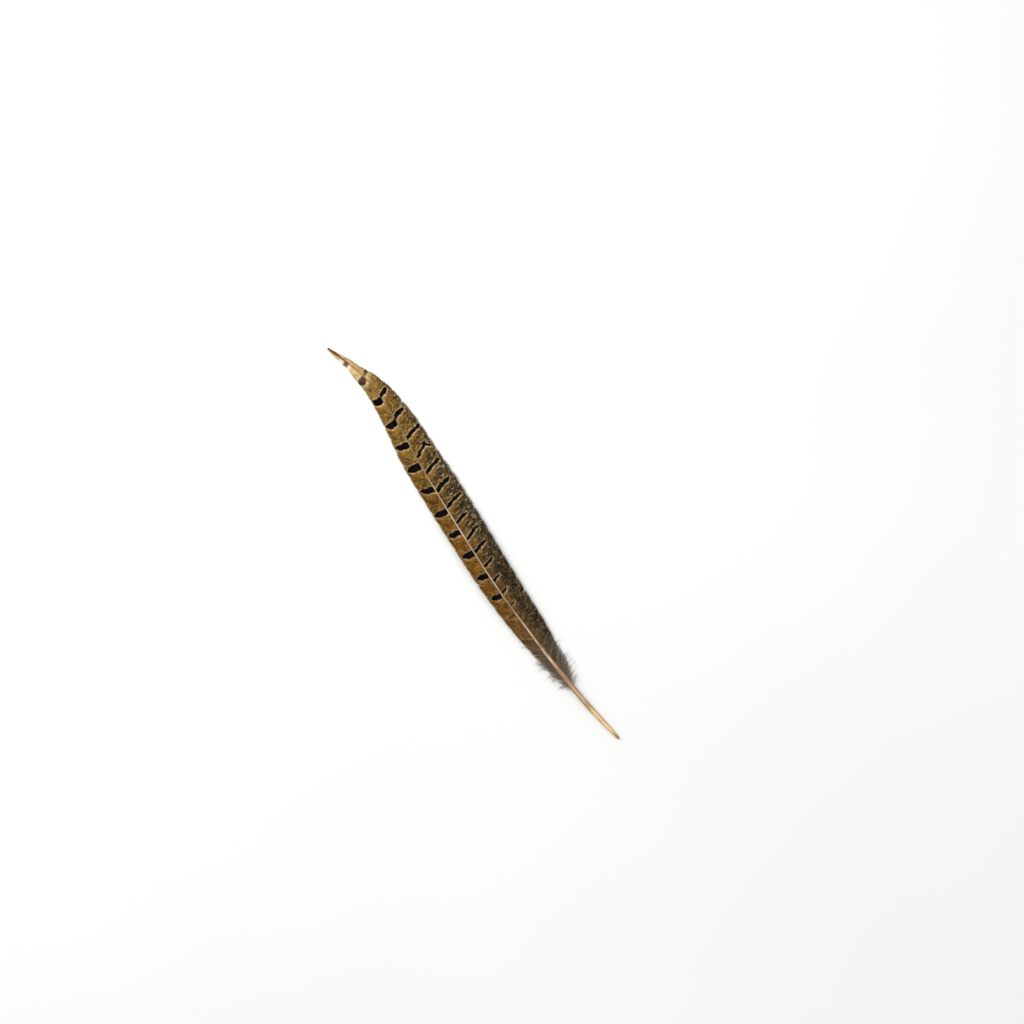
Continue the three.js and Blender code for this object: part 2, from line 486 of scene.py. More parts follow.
# %% Fibre and stain groups
FINER = 4.0
COARSE_SHARE, FINE_SHARE = 0.6, 0.4
STAIN = "#A9794A"
fibre_group, into, out = group(
    "Keratin fibres",
    [("Place", "Vector", None), ("Stretch", "Float", 12.0), ("Scale", "Float", 4.0)],
    [("Value", "Float"), ("Height", "Float")],
)
parts = node(fibre_group, "SeparateXYZ", {0: into["Place"]}).outputs
drawn_out = calc(fibre_group, "DIVIDE", parts["X"], into["Stretch"])
drawn = node(fibre_group, "CombineXYZ", {"X": drawn_out, "Y": parts["Y"], "Z": parts["Z"]}).outputs[0]
coarse = noise(fibre_group, drawn, into["Scale"], 3.0, 0.6)
fine = noise(fibre_group, drawn, calc(fibre_group, "MULTIPLY", into["Scale"], FINER), 2.0)
coarse_part = calc(fibre_group, "MULTIPLY", coarse, COARSE_SHARE)
both = calc(fibre_group, "MULTIPLY_ADD", fine, FINE_SHARE, coarse_part)
fibre_group.links.new(both, out["Value"])
fibre_group.links.new(both, out["Height"])

stain_group, into, out = group(
    "Brown stain",
    [
        ("Colour", "Color", None),
        ("Place", "Vector", None),
        ("Scale", "Float", 0.1),
        ("Amount", "Float", 0.4),
    ],
    [("Colour", "Color")],
)
patch = ease(stain_group, noise(stain_group, into["Place"], into["Scale"], 4.0, 0.6), 0.45, 0.75)
much = calc(stain_group, "MULTIPLY", patch, into["Amount"])
stain_group.links.new(mix(stain_group, much, into["Colour"], rgb(STAIN), "MULTIPLY"), out["Colour"])
print("groups:", [g.name for g in bpy.data.node_groups])

# %% [markdown]
# ## The vanes' material
#
# The narrow vane is tan near the tip and rusty brown lower down. The wide vane is olive brown beside
# the shaft and grey-brown outside, with fine dark scribbles. The black bars are blocks on the narrow
# vane and thin slanting strokes on the wide one, and the two sets are spaced differently, so they meet
# at the shaft only near the tip. There the barbs are bleached and the bars end in a grey blotch. Each
# barb shifts the pattern by a hair, because each grew its own stretch of it.

# %% The bars
# Each bar: its centre at the shaft, its lean to the tip, curve, half length, reach across the vane, taper
# at its end and pinch at the shaft.
LEFT_BARS = [
    (237.6, 0.06, 0.003, 2.35, 6.6, 0.75, 0.2),
    (222.7, -0.38, 0.050, 2.0, 7.6, 0.7, 0.1),
    (207.9, -0.05, 0.014, 2.0, 8.4, 0.8, 0.3),
    (194.0, 0.12, -0.014, 2.3, 8.6, 0.8, 0.2),
    (178.3, 0.30, -0.006, 1.85, 8.2, 0.8, 0.0),
    (164.0, 0.06, 0.0, 2.0, 8.6, 0.85, 0.0),
    (149.8, 0.20, -0.014, 1.85, 7.9, 0.8, 0.0),
    (135.6, 0.12, -0.004, 1.9, 7.7, 0.75, 0.0),
    (120.8, 0.12, -0.004, 1.75, 7.3, 0.75, 0.0),
    (106.6, 0.12, 0.0, 1.5, 6.6, 0.75, 0.0),
    (92.8, 0.12, 0.0, 1.2, 5.4, 0.75, 0.0),
    (80.5, 0.12, 0.0, 0.85, 3.8, 0.75, 0.0),
]
RIGHT_BARS = [
    (239.3, 0.52, -0.020, 1.35, 5.8, 0.4, 0.0),
    (225.0, 0.42, -0.018, 1.4, 7.3, 0.25, 0.0),
    (211.1, 0.56, -0.020, 1.25, 11.2, 0.3, 0.0),
    (198.8, 0.66, 0.0, 1.15, 7.6, 0.0, 0.0),
    (188.2, 0.50, -0.010, 1.1, 11.4, 0.2, 0.1),
    (176.8, 0.37, -0.008, 1.4, 10.9, 0.4, 0.1),
    (165.0, 0.60, -0.026, 1.05, 12.0, 0.3, 0.2),
    (154.8, 0.48, -0.022, 1.1, 9.0, 0.4, 0.1),
    (143.8, 0.60, -0.024, 1.0, 10.8, 0.3, 0.2),
    (135.3, 0.42, -0.015, 1.05, 9.6, 0.2, 0.2),
    (125.3, 0.40, -0.015, 0.9, 7.6, 0.4, 0.0),
    (115.6, 0.40, -0.015, 0.8, 5.6, 0.4, 0.0),
    (107.2, 0.40, -0.015, 0.7, 4.8, 0.4, 0.0),
    (98.3, 0.40, -0.015, 0.6, 4.0, 0.4, 0.0),
]
# The fourth thin bar forks at its outer end, so two short strokes start where it stops.
FORK = [
    (199.6, 0.66, 0.0, 0.9, 8.9, 0.0, 0.0),
    (208.0, -0.56, 0.0, 1.15, 10.8, 0.0, 0.0),
]
FORK_START = 6.4
print(len(LEFT_BARS), "blocks and", len(RIGHT_BARS), "strokes")

# %% [markdown]
# ## Where the pattern lies
#
# The pattern is read from the place where each point grew and not from where it lies now, so a bar keeps
# its shape however the barb is bent. Broad and fine noise shift it a little, and chance shifts each barb's
# part of it, so that a bar's edge is as ragged as on a real vane.

# %% Where the pattern lies
SWAY, FRAY, SHIFT = 1.4, 1.8, 0.4  # how far clouds, fine noise and a barb's own chance shift the pattern
SIDE_BLEND = (-0.02, 0.02)  # the two vanes' patterns meet within the shaft's width

vane_look, tree, shader = material("feather vane")
grow, along, across, chance = attribute(tree, "grow")
barb, share, web, _ = attribute(tree, "barb")
right = calc(tree, "MULTIPLY", across, -1.0)
left_side = ease(tree, across, *SIDE_BLEND)
sway = calc(tree, "SUBTRACT", noise(tree, squeeze(tree, grow, 0.3, 0.3, 0.0), 1.0, 1.0), 0.5)
fray = calc(tree, "SUBTRACT", noise(tree, squeeze(tree, grow, 0.5, 0.55, 0.0), 1.0, 3.0, 0.7), 0.5)
shift = calc(tree, "MULTIPLY_ADD", sway, SWAY, along)
shift = calc(tree, "MULTIPLY_ADD", fray, FRAY, shift)
shift = calc(tree, "MULTIPLY_ADD", calc(tree, "SUBTRACT", chance, 0.5), SHIFT, shift)


def bars(masks, side, rows, start=-0.4):
    """Adds a row of bars to the three masks: the bars, their borders and the warm ground behind them."""
    for centre, lean, curve, half_length, reach, taper, pinch in rows:
        given = {"Along": shift, "Across": side, "Centre": centre, "Lean": lean, "Curve": curve}
        given.update({"Half length": half_length, "Start": start, "Reach": reach})
        given.update({"Taper": taper, "Pinch": pinch})
        masks = [calc(tree, "MAXIMUM", old, new) for old, new in zip(masks, use(tree, bar_group, given))]
    return masks


masks = bars([0.0, 0.0, 0.0], across, LEFT_BARS)
masks = bars(masks, right, RIGHT_BARS)
black, halo, warmth = bars(masks, right, FORK, FORK_START)
print("the pattern takes", len(tree.nodes), "nodes")

# %% [markdown]
# ## The ground between the bars
#
# Away from the bars the colour changes along the feather and, on the wide vane, from its inner part to
# its outer one. An image could hold that, but colour ramps stay sharp at any size and are easy to change.
# Over them go patches, spots, flecks and thin curling lines. Each of these is noise cut off at a level.

# %% The ground between the bars
# Each vane's colour along the feather, away from its bars: (station, colour). The wide vane has an inner
# and an outer part, which meet at a cloudy line.
NARROW = [
    (56, "#66553C"),
    (92, "#745020"),
    (135, "#7C4E10"),
    (175, "#6C4A16"),
    (205, "#6C4C19"),
    (218, "#7A5A24"),
    (236, "#926E2F"),
    (249, "#A8844E"),
    (257, "#DCC190"),
    (270, "#E6CB9C"),
    (280, "#CBA878"),
]
INNER = [
    (56, "#5C4C34"),
    (120, "#5A3E1B"),
    (160, "#62441A"),
    (200, "#664818"),
    (236, "#846026"),
    (252, "#B28748"),
    (262, "#D8B884"),
    (270, "#ECCB9E"),
    (280, "#C09A66"),
]
# The outer part is darkest near station 120: partly its own colour, partly painted shadow, as cast by a
# feather lying over it.
OUTER = [
    (56, "#54452F"),
    (120, "#2E2416"),
    (160, "#483A25"),
    (200, "#5A4526"),
    (228, "#84622A"),
    (250, "#A17C40"),
    (262, "#D8B884"),
    (270, "#ECCB9E"),
    (280, "#C09A66"),
]
OUTER_FROM, CLOUDED = (5.6, 9.6), 7.0
cloud = noise(tree, squeeze(tree, grow, 0.22, 0.3, 0.0), 1.0, 2.0, 0.6)
edge_of = calc(tree, "MULTIPLY_ADD", cloud, CLOUDED, right)
outer = ease(tree, edge_of, *OUTER_FROM)
ground = mix(tree, outer, ramp(tree, along, INNER), ramp(tree, along, OUTER))
ground = mix(tree, left_side, ground, ramp(tree, along, NARROW))
print("colour stops:", len(NARROW), len(INNER), len(OUTER))

# %% The grain of the mottling
# Broad patches and dark spots run with the barbs, so their places are measured along them: lane is the same
# all along one barb. Flecks, grains and the thin curling lines don't follow them. Where squeeze's last
# number isn't 0, each barb's chance takes it to another layer of the noise.
LANE_LEAN = -0.85
lane = calc(tree, "MULTIPLY_ADD", calc(tree, "ABSOLUTE", across), LANE_LEAN, along)
lanes = node(tree, "CombineXYZ", {"X": lane, "Y": across, "Z": 0.0}).outputs[0]
patches = noise(tree, squeeze(tree, lanes, 0.3, 0.14, 0.0), 1.0, 2.0, 0.6)
spots = noise(tree, squeeze(tree, lanes, 0.62, 0.3, 0.0), 1.0, 2.0, 0.7)
flecks = noise(tree, squeeze(tree, grow, 0.62, 0.42, 0.0), 1.0, 2.0, 0.7)
curls = noise(tree, squeeze(tree, grow, 0.46, 0.3, 9.0), 1.0, 1.5)
lines = calc(tree, "ABSOLUTE", calc(tree, "SUBTRACT", curls, 0.5))
print("with its grain it takes", len(tree.nodes), "nodes")

# %% The mottling's colours
RUST, UMBER, SPOT, SCRIBBLE = rgb("#A0701F"), rgb("#54411F"), rgb("#3A2A10"), rgb("#1E170D")
FLECK_IN, FLECK_OUT, CURL = rgb("#B0935A"), rgb("#B7A17E"), rgb("#A38F68")
OLIVE, GOLD = rgb("#4C3B14"), rgb("#BC9448")
# Stations between which a look comes or goes.
WORN_TIP = (262.0, 242.0)
TIP_HALF = (186.0, 212.0)
RUST_FROM = (62.0, 100.0)
FLECK_SHADE_FROM = (110.0, 170.0)

# The worn tip is bleached, so the mottling is calm there or gone: unworn is 0 there and 1 elsewhere.
unworn = ease(tree, along, *WORN_TIP)
calm = calc(tree, "MULTIPLY_ADD", unworn, 0.75, 0.25)
warm = calc(tree, "MULTIPLY", ease(tree, patches, 0.5, 0.64), calc(tree, "MULTIPLY_ADD", outer, -0.3, 0.6))
warm = calc(tree, "MULTIPLY", warm, ease(tree, along, *RUST_FROM, 0.15, 1.0))
ground = mix(tree, warm, ground, RUST)
dull = calc(tree, "MULTIPLY", ease(tree, patches, 0.46, 0.34), 0.55)
ground = mix(tree, calc(tree, "MULTIPLY", dull, calm), ground, UMBER)
tip_half = calc(tree, "MULTIPLY", ease(tree, along, *TIP_HALF), unworn)
streaky = calc(tree, "MULTIPLY_ADD", tip_half, -0.5, 0.85)
spotted = calc(tree, "MULTIPLY", ease(tree, spots, 0.5, 0.66), calc(tree, "MULTIPLY", calm, streaky))
ground = mix(tree, spotted, ground, SPOT)
pale_flecks = ease(tree, flecks, 0.51, 0.63)
pale_flecks = calc(tree, "MULTIPLY", pale_flecks, calc(tree, "MULTIPLY_ADD", outer, 0.25, 0.5))
# Pale flecks and curls are dimmer towards the quill: partly the vane's own look, partly painted shadow, as
# cast by a feather lying over it.
fleck_fade_and_shade = ease(tree, along, *FLECK_SHADE_FROM, 0.4, 1.0)
pale_flecks = calc(tree, "MULTIPLY", pale_flecks, fleck_fade_and_shade)
ground = mix(tree, pale_flecks, ground, mix(tree, outer, FLECK_IN, FLECK_OUT))
pale_curls = ease(tree, lines, 0.1, 0.2, 0.0, 0.5)
pale_curls = calc(tree, "MULTIPLY", pale_curls, calc(tree, "MULTIPLY", outer, calm))
ground = mix(tree, calc(tree, "MULTIPLY", pale_curls, fleck_fade_and_shade), ground, CURL)
# The half nearer the tip has olive and golden grains on both vanes.
grains = noise(tree, squeeze(tree, grow, 0.44, 0.46, 23.0), 1.0, 1.5, 0.6)
olive = calc(tree, "MULTIPLY", ease(tree, grains, 0.51, 0.6, 0.0, 0.82), tip_half)
ground = mix(tree, olive, ground, OLIVE)
gold = calc(tree, "MULTIPLY", ease(tree, grains, 0.47, 0.38, 0.0, 0.65), tip_half)
ground = mix(tree, gold, ground, GOLD)
# Dark scribbles are on the wide vane alone.
away = calc(tree, "MULTIPLY", calc(tree, "SUBTRACT", 1.0, left_side), unworn)
scribbled = ease(tree, lines, 0.09, 0.03)
scribbled = calc(tree, "MULTIPLY", scribbled, calc(tree, "MULTIPLY_ADD", outer, 0.6, 0.25))
ground = mix(tree, calc(tree, "MULTIPLY", scribbled, away), ground, SCRIBBLE)
print("with its ground it takes", len(tree.nodes), "nodes")

# %% [markdown]
# ## Margins, borders, marks and bars
#
# These are laid on in the order in which a painter would work: first the margins, a pale tint on the
# narrow one and painted shade on the wide one, then the pale borders of the bars, then the marks on the
# worn tip and at last the black bars over everything.

# %% Margins and the bars' borders
RIM, MARGIN_SHADE, WARM_GROUND = rgb("#BC9F70"), rgb("#2B2115"), rgb("#96691F")
HALO = [(120, "#AE9268"), (160, "#BE9F72"), (200, "#D0B07C"), (235, "#E8C892")]
BARS_FROM = (72.0, 108.0)
WARM_FROM = (120.0, 205.0)
WARM_TO = (8.0, 4.0)  # across the wide vane

# The narrow vane has a pale rim. The wide vane's margin is painted darker, as shade.
rim = calc(tree, "MULTIPLY", ease(tree, share, 0.89, 0.97, 0.0, 0.65), left_side)
ground = mix(tree, rim, ground, RIM)
# Painted shade along the wide vane's margin.
painted_margin_shade = calc(tree, "MULTIPLY", ease(tree, share, 0.8, 1.0, 0.0, 0.4), away)
ground = mix(tree, painted_margin_shade, ground, MARGIN_SHADE)
# The bars and their borders fade out towards the down.
strength = ease(tree, along, *BARS_FROM, 0.15, 1.0)
golden = calc(tree, "MULTIPLY", warmth, ease(tree, along, *WARM_FROM, 0.2, 0.5))
golden = calc(tree, "MULTIPLY", golden, ease(tree, right, *WARM_TO))
ground = mix(tree, golden, ground, WARM_GROUND)
broken_halo = calc(tree, "MULTIPLY", halo, ease(tree, flecks, 0.38, 0.58, 0.35, 1.0))
ground = mix(tree, calc(tree, "MULTIPLY", broken_halo, strength), ground, ramp(tree, along, HALO))

# %% Marks at the worn tip
# Soft round marks near the tip: station, across, half length, half width, colour, strength.
MARKS = [
    (253.2, 2.8, 3.9, 4.6, "#EBD2A4", 0.75),
    (254.9, -2.4, 2.3, 3.2, "#DFC083", 0.6),
    (253.1, 2.8, 2.3, 2.7, "#523C28", 1.0),
    (254.3, 1.0, 1.6, 1.3, "#4A3424", 0.9),
    (252.2, 3.5, 0.8, 1.0, "#3A2C10", 0.6),
    (253.7, 2.2, 0.9, 0.9, "#6A5649", 0.6),
    (254.9, -1.3, 0.9, 0.9, "#5C4418", 0.85),
    (255.7, -3.0, 1.1, 1.0, "#3C2A14", 0.95),
    (246.0, 2.8, 0.9, 0.9, "#5E4222", 0.7),
    (264.4, 1.6, 1.6, 1.7, "#FFE9C6", 0.7),
    (267.2, 1.7, 1.6, 1.4, "#7A6640", 0.9),
    (269.6, 1.2, 1.5, 1.1, "#FFEED2", 0.8),
]
# The last ones lie along the shaft, and the very tip is dark.
MARKS += [
    (266.6, 0.1, 1.4, 0.8, "#5A3616", 0.95),
    (270.2, -0.2, 3.8, 0.5, "#7A4E22", 0.9),
    (275.3, -0.3, 4.2, 0.8, "#61370F", 0.9),
    (279.7, 0.0, 1.2, 1.4, "#45401F", 0.95),
]
MARK_EDGE = (1.8, 0.35)  # squares of the distance from its centre, in half lengths and half widths
INK, SMOKE = rgb("#020201"), rgb("#14100B")
for centre, out_to, long, wide_by, code, full_on in MARKS:
    dx = calc(tree, "POWER", calc(tree, "DIVIDE", calc(tree, "SUBTRACT", shift, centre), long), 2.0)
    dy = calc(tree, "POWER", calc(tree, "DIVIDE", calc(tree, "SUBTRACT", across, out_to), wide_by), 2.0)
    mark = ease(tree, calc(tree, "ADD", dx, dy), *MARK_EDGE, 0.0, full_on)
    ground = mix(tree, mark, ground, rgb(code))

# The bars go over everything, and the black of them is a little smoky.
ink = mix(tree, ease(tree, flecks, 0.45, 0.62), INK, SMOKE)
colour = mix(tree, calc(tree, "MULTIPLY", black, strength), ground, ink)
print(len(MARKS), "marks")

# %% [markdown]
# ## What each barb adds
#
# A vane isn't a painted sheet. Each barb is a little lighter or darker than the next, its web is painted
# darker at the edges, as shade where the webs lap, and fine side hairs cross it. From close by, these are
# what make the surface look like barbs.

# %% What each barb adds
BARB_DARKEST, BARB_RANGE = 0.83, 0.34
WEB_SHADE = -0.3
HAIR_SCALE = 1.6
stained = use(tree, stain_group, {"Colour": colour, "Place": grow, "Scale": 0.05, "Amount": 0.25})
# The web is painted darker at both of its edges, as shade where one barb's web laps under the next.
web_lap_shade = calc(tree, "POWER", calc(tree, "ABSOLUTE", web), 3.0)
light = calc(tree, "MULTIPLY_ADD", chance, BARB_RANGE, BARB_DARKEST)
light = calc(tree, "MULTIPLY", light, calc(tree, "MULTIPLY_ADD", web_lap_shade, WEB_SHADE, 1.0))
tone_and_lap_shade = node(tree, "CombineColor", {0: light, 1: light, 2: light}).outputs[0]
final = mix(tree, 1.0, stained["Colour"], tone_and_lap_shade, "MULTIPLY")
tree.links.new(final, shader.inputs["Base Color"])

fibres = use(tree, fibre_group, {"Place": barb, "Stretch": 0.05, "Scale": 3.0})
hairs = node(tree, "TexWave", {"Vector": grow, "Scale": HAIR_SCALE, "Distortion": 1.0}).outputs["Fac"]
height = calc(tree, "MULTIPLY_ADD", hairs, 0.4, fibres["Height"])
bump = node(tree, "Bump", {"Strength": 0.3, "Distance": 0.05 * MM, "Height": height})
tree.links.new(bump.outputs["Normal"], shader.inputs["Normal"])
tree.links.new(ease(tree, spots, 0.3, 0.7, 0.55, 0.72), shader.inputs["Roughness"])
shader.inputs["Specular IOR Level"].default_value = 0.06
print("vane material has", len(tree.nodes), "nodes")

# %% [markdown]
# ## The quill's material
#
# The shaft is horn. At the tip it is dark brown, and it pales to a pinkish beige in the middle of the
# feather. Its sides are painted darker than its top, as shade, so that the top reads as a thin bright
# line. The bare calamus is a golden tan.
# One ramp along the feather gives these colours, and drawn-out noise gives the fine fibres that run along
# all of it, so nothing has to be painted by hand. Their pale streaks are partly the fibres' own colour and
# partly painted highlight. A thin coat adds the dull gloss of horn.

# %% The quill's material
QUILL = [
    (0, "#6E4E22"),
    (2.5, "#B98D4C"),
    (8, "#F8D488"),
    (18, "#FAD798"),
    (30, "#BE9662"),
    (45, "#A48156"),
    (62, "#9C7A55"),
    (90, "#A08268"),
    (120, "#B49C84"),
    (150, "#D4BEA6"),
    (180, "#C4A67E"),
    (205, "#8C6A36"),
    (240, "#785426"),
    (258, "#A07C40"),
    (264, "#8A6432"),
    (266, "#5A3616"),
    (270, "#6E4420"),
    (274, "#552F10"),
    (280, "#45401F"),
]
PALE_FIBRE_AND_HIGHLIGHT, DARK_FIBRE, QUILL_SIDE_SHADE, CROSSING = rgb("#F6E6C6"), rgb("#7E5C34"), rgb("#4E3A22"), rgb("#060403")
# Stations between which a look comes or goes.
HORN_CALM, SIDE_SHADE_FROM, SIDE_SHADE_TO = (240.0, 90.0), (55.0, 90.0), (225.0, 255.0)
CROSSINGS = (224.2, 239.4)  # two bars run right across the shaft
CROSSING_EDGE = (1.2, 0.7)

quill_look, tree, shader = material("feather quill")
grow, along, _, _ = attribute(tree, "grow")
_, upward, _, _ = attribute(tree, "barb")
horn = ramp(tree, along, QUILL)
fibres = use(tree, fibre_group, {"Place": grow, "Stretch": 9.0, "Scale": 0.5})
horn_calm = ease(tree, along, *HORN_CALM, 0.35, 1.0)
# Pale streaks along the quill: partly its fibres' own colour, partly painted highlight.
pale = calc(tree, "MULTIPLY", ease(tree, fibres["Value"], 0.5, 0.62, 0.0, 0.75), horn_calm)
dark = calc(tree, "MULTIPLY", ease(tree, fibres["Value"], 0.48, 0.36, 0.0, 0.8), horn_calm)
horn = mix(tree, pale, horn, PALE_FIBRE_AND_HIGHLIGHT)
horn = mix(tree, dark, horn, DARK_FIBRE)
# The quill's sides are painted darker than its top, as shade, so that the top reads as a thin bright line.
painted_side_shade = calc(tree, "MULTIPLY", ease(tree, upward, 0.95, 0.6), ease(tree, along, *SIDE_SHADE_FROM, 0.5, 0.95))
painted_side_shade = calc(tree, "MULTIPLY", painted_side_shade, ease(tree, along, *SIDE_SHADE_TO, 1.0, 0.4))
horn = mix(tree, painted_side_shade, horn, QUILL_SIDE_SHADE)
for centre in CROSSINGS:
    from_bar = calc(tree, "ABSOLUTE", calc(tree, "SUBTRACT", along, centre))
    horn = mix(tree, ease(tree, from_bar, *CROSSING_EDGE), horn, CROSSING)
stained = use(tree, stain_group, {"Colour": horn, "Place": grow, "Scale": 0.12, "Amount": 0.4})
tree.links.new(stained["Colour"], shader.inputs["Base Color"])
bump = node(tree, "Bump", {"Strength": 0.4, "Distance": 0.1 * MM, "Height": fibres["Height"]})
tree.links.new(bump.outputs["Normal"], shader.inputs["Normal"])
tree.links.new(ease(tree, fibres["Value"], 0.3, 0.7, 0.3, 0.48), shader.inputs["Roughness"])
shader.inputs["Specular IOR Level"].default_value = 0.4
shader.inputs["Coat Weight"].default_value = 0.15
shader.inputs["Coat Roughness"].default_value = 0.25
print("quill material has", len(tree.nodes), "nodes")

# %% [markdown]
# ## The down's material
#
# Down is grey-brown at its root and paler and softer at the ends of its hairs. One plain colour would do
# from far off. But each hair stores how far out it is, so its colour can change along it, and each barb's
# chance gives it a shade of its own. A little sheen makes the tufts look soft.

# %% The down's material
DOWN_ROOT, DOWN_END, DOWN_DARK = rgb("#7D6850"), rgb("#B5A288"), rgb("#6B5844")
down_look, tree, shader = material("feather down")
grow, _, _, chance = attribute(tree, "grow")
_, share, _, _ = attribute(tree, "barb")
soft = mix(tree, share, DOWN_ROOT, DOWN_END)
soft = mix(tree, calc(tree, "MULTIPLY", chance, 0.6), soft, DOWN_DARK)
stained = use(tree, stain_group, {"Colour": soft, "Place": grow, "Scale": 0.15, "Amount": 0.4})
fibres = use(tree, fibre_group, {"Place": grow, "Stretch": 2.0, "Scale": 2.0})
tree.links.new(stained["Colour"], shader.inputs["Base Color"])
tree.links.new(ease(tree, fibres["Value"], 0.3, 0.7, 0.7, 0.9), shader.inputs["Roughness"])
shader.inputs["Specular IOR Level"].default_value = 0.2
shader.inputs["Sheen Weight"].default_value = 0.2
print("down material has", len(tree.nodes), "nodes")

# %% [markdown]
# ## The quill
#
# The calamus is a round tube with a small hole at its cut end. Where the vanes begin it turns into the
# rachis, which is squarer, has a groove underneath and tapers to a hair at the tip. It is lofted from
# rings, each a circle that is squared, grooved and ribbed as its station needs.

# %% The quill's rings
RINGS = 300
SPOKES = 24
CROWDING = 1.06  # the rings are a little closer together at the cut end
SQUARE_FROM, SQUARE_OVER, SQUARE_DEPTH = 60, 40, 0.06
GROOVE_FROM, GROOVE_OVER = 66, 14
GROOVE_END, GROOVE_FADE = LENGTH - 18, 20
GROOVE_DEPTH = 0.55  # as a share of the radius
# The first two rings make the cut end's hole and its rim.
station = np.concatenate([[0.0], LENGTH * np.linspace(0.0, 1.0, RINGS) ** CROWDING])
station[1] = 0.02
turn = np.linspace(0, 2 * np.pi, SPOKES, endpoint=False)
radius = table(SHAFT_RADIUS, station)[:, None] * np.ones(SPOKES)
squared = np.clip((station - SQUARE_FROM) / SQUARE_OVER, 0, 1)[:, None]
radius *= 1 - SQUARE_DEPTH * squared * np.cos(4 * (turn - np.pi / 4))
broad_ribs = np.sin(7 * turn + 0.02 * station[:, None]) * 0.012
fine_ribs = np.sin(13 * turn - 0.05 * station[:, None]) * 0.006
radius *= 1 + (broad_ribs + fine_ribs) * (1 - 0.6 * squared)
out_by = radius * np.sin(turn)
up_by = radius * np.cos(turn)
under = np.clip(-np.cos(turn), 0, 1) ** 3
groove = np.clip((station - GROOVE_FROM) / GROOVE_OVER, 0, 1)
groove *= np.clip((GROOVE_END - station) / GROOVE_FADE, 0, 1)
up_by += groove[:, None] * under * radius * GROOVE_DEPTH
print("quill is", round(2 * float(radius.max()), 2), "mm thick at most")

# %% The quill's ends
HOLE = 0.45  # the hole's radius, as a share of the quill's
HOLE_DEPTH = 1.6
RIM_OVER = 2  # the ragged rim is evened out over this length
RIM_BACK = 0.55
TIP_BLUNT, TIP_LEAST = 0.4, 0.8  # the very tip narrows over this length to this share
ragged = 0.35 * np.sin(3 * turn + 0.7) + 0.2 * np.sin(7 * turn)
reach_back = station[:, None] + np.clip(1 - station[:, None] / RIM_OVER, 0, 1) * (ragged + RIM_BACK)
out_by[0] *= HOLE
up_by[0] *= HOLE
reach_back[0] += HOLE_DEPTH
tip = np.clip((LENGTH - station) / TIP_BLUNT, TIP_LEAST, 1)[:, None]
axis = spline(SHAFT_RISE, station)[:, None]
height = np.maximum(axis + up_by * tip, 0.0)
points = bend(np.clip(reach_back, 0, LENGTH), out_by * tip, height).reshape(-1, 3)
print("rim is ragged by", round(float(np.ptp(ragged)), 2), "mm")

# %% The quill's mesh
ROUND_SCALE = 3.0  # the fibres are drawn finer round the quill than they are on the vanes
corner = np.arange(points.shape[0]).reshape(len(station), SPOKES)
ahead = np.roll(corner, -1, axis=1)
sides = np.stack([corner[:-1], corner[1:], ahead[1:], ahead[:-1]], -1).reshape(-1, 4)
ends = [corner[0].tolist(), corner[-1, ::-1].tolist()]
mesh = bpy.data.meshes.new("quill")
mesh.from_pydata(points.tolist(), [], sides.tolist() + ends)
mesh.shade_smooth()
round_it = [ROUND_SCALE * np.sin(turn) * radius, ROUND_SCALE * np.cos(turn) * radius]
store(mesh, "grow", np.stack([reach_back] + round_it, -1))
store(mesh, "barb", np.stack(np.broadcast_arrays(np.cos(turn), np.sin(turn), 0 * radius), -1))
quill = bpy.data.objects.new("quill", mesh)
bpy.context.scene.collection.objects.link(quill)
mesh.materials.append(quill_look)
print("quill has", len(mesh.polygons), "faces")

# %% [markdown]
# ## The barbs of the vanes
#
# Each vane is a row of barbs hooked side by side. One barb is a thin ridge (the ramus) with a web on
# both sides that just laps over the next barb's, so light catches the ridges as it does on a real vane.
# Wear unhooks the webs: the barbs bunch into locks, a few gaps open at the margin, and near the tip
# some barbs have broken away so that only loose strands are left beside the shaft.

# %% What wear does to a barb
PITCH = 0.42  # from one barb to the next, along the margin
LOCKS = 30  # bunches of barbs on each side
VANE_FROM = 50.0
LOOSE_TO = 80.0  # below this the barbs are unhooked and loose
# The locks after which wear has opened a gap, and how far it opens at the margin.
LEFT_SPLITS = [(10, 0.6), (20, 0.3), (28, 0.4), (29, 0.8)]
RIGHT_SPLITS = [(8, 0.5), (15, 0.45), (24, 0.5)]
SPLIT_OVER = 3.5  # how far from a gap its barbs are pushed aside
FRAYED_FROM, FRAYED_OVER = 258, 8  # the barbs are worn to uneven lengths from here on
BROKEN_FROM, BROKEN_TO = 269.8, 271.6  # on the left vane, where the barbs have broken off


def drift(size, cells, places):
    """Smooth random values: one for each cell, joined by straight lines."""
    return np.interp(places, np.linspace(0, LENGTH, cells), luck.normal(0, size, cells))


def pulled_aside(margin, number, in_lock, loose, splits, first, last):
    """How far each barb's end is pulled along the margin, into its lock or away from a gap."""
    pull = luck.uniform(0.03, 0.3, LOCKS + 1)[np.floor(number).astype(int)]
    aside = (0.5 - in_lock) * 2 * pull + drift(0.1, 150, margin)
    aside += luck.normal(0, 1, len(margin)) * (0.035 + 0.75 * loose**1.5)
    for lock, gap in splits:
        at = first + (last - first) * lock / LOCKS
        aside += np.sign(margin - at) * gap * np.exp(-np.abs(margin - at) / SPLIT_OVER)
    return aside


